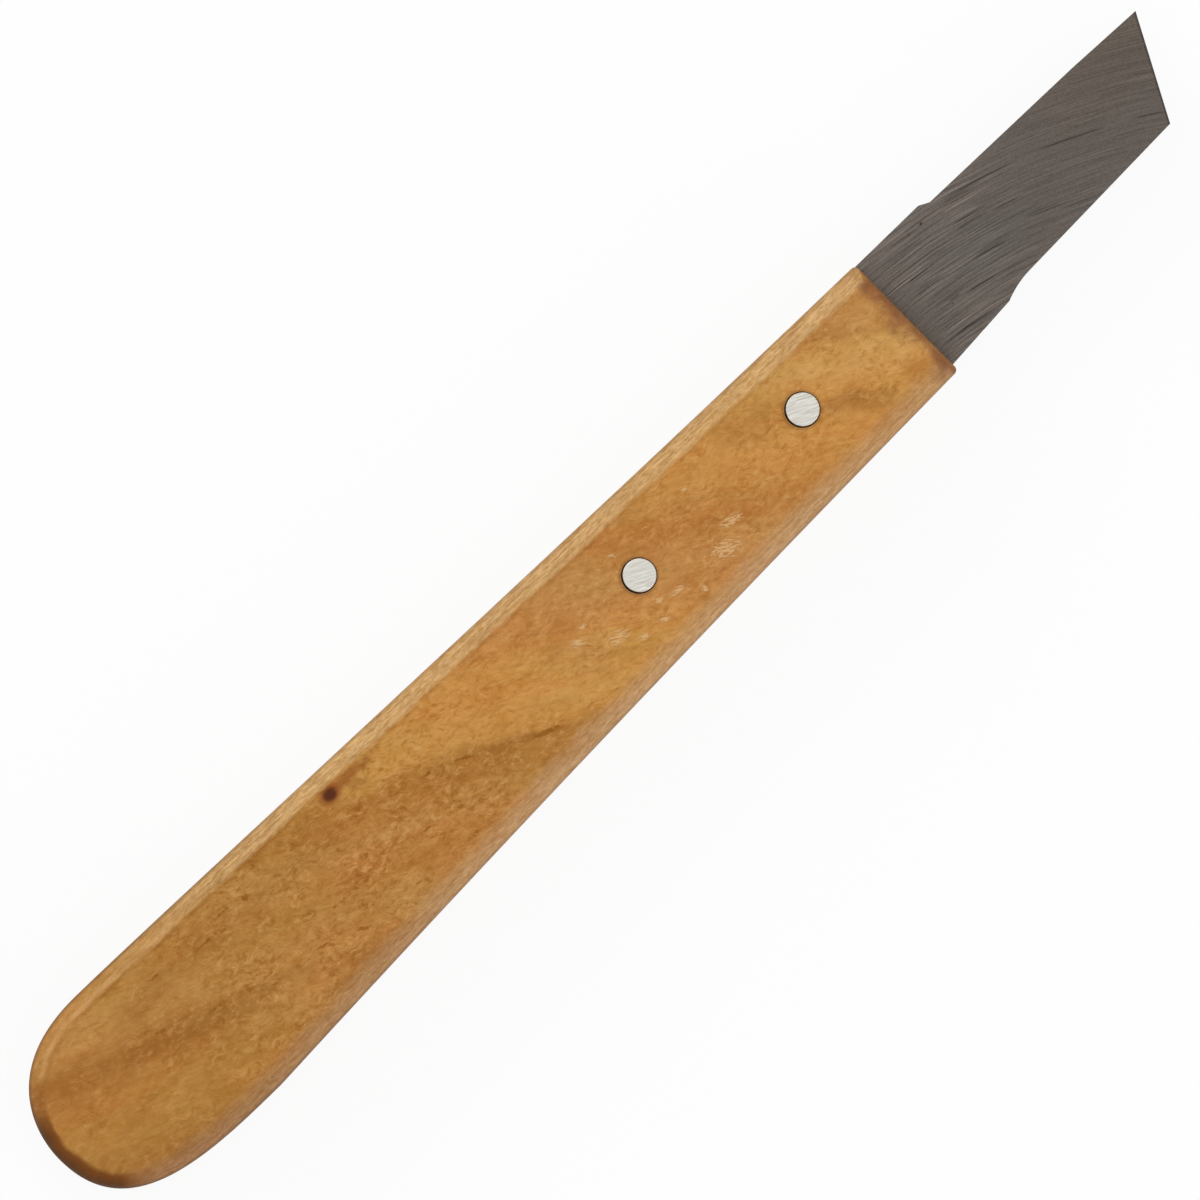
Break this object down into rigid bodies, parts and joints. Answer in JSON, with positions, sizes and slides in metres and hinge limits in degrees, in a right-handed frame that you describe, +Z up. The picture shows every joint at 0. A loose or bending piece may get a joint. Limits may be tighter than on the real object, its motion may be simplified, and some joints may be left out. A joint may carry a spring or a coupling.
{
  "type": "wood carving knife",
  "caption": "Fixed-blade wood carving knife: a flat steel blade with a slanted cutting end, its tang slotted and riveted into a tapering wooden handle with a rounded butt.",
  "frame": {"origin": "under the middle of the knife's bounding box, on the plane that the lower flat face of the handle lies on", "axes": "+X along the knife to its point, +Y across it to the spine edge, +Z up out of the upper flat face of the handle"},
  "size_m": [0.1752, 0.023, 0.011],
  "materials": {
    "handle_wood": "oiled satin, orange brown",
    "blade_steel": "ground, dark grey, with curved grinding marks",
    "rivet_metal": "filed flush, brushed"
  },
  "bodies": {
    "root": {"handle": "handle_wood", "blade": "blade_steel", "front_rivet": "rivet_metal", "rear_rivet": "rivet_metal"}
  },
  "joints": []
}
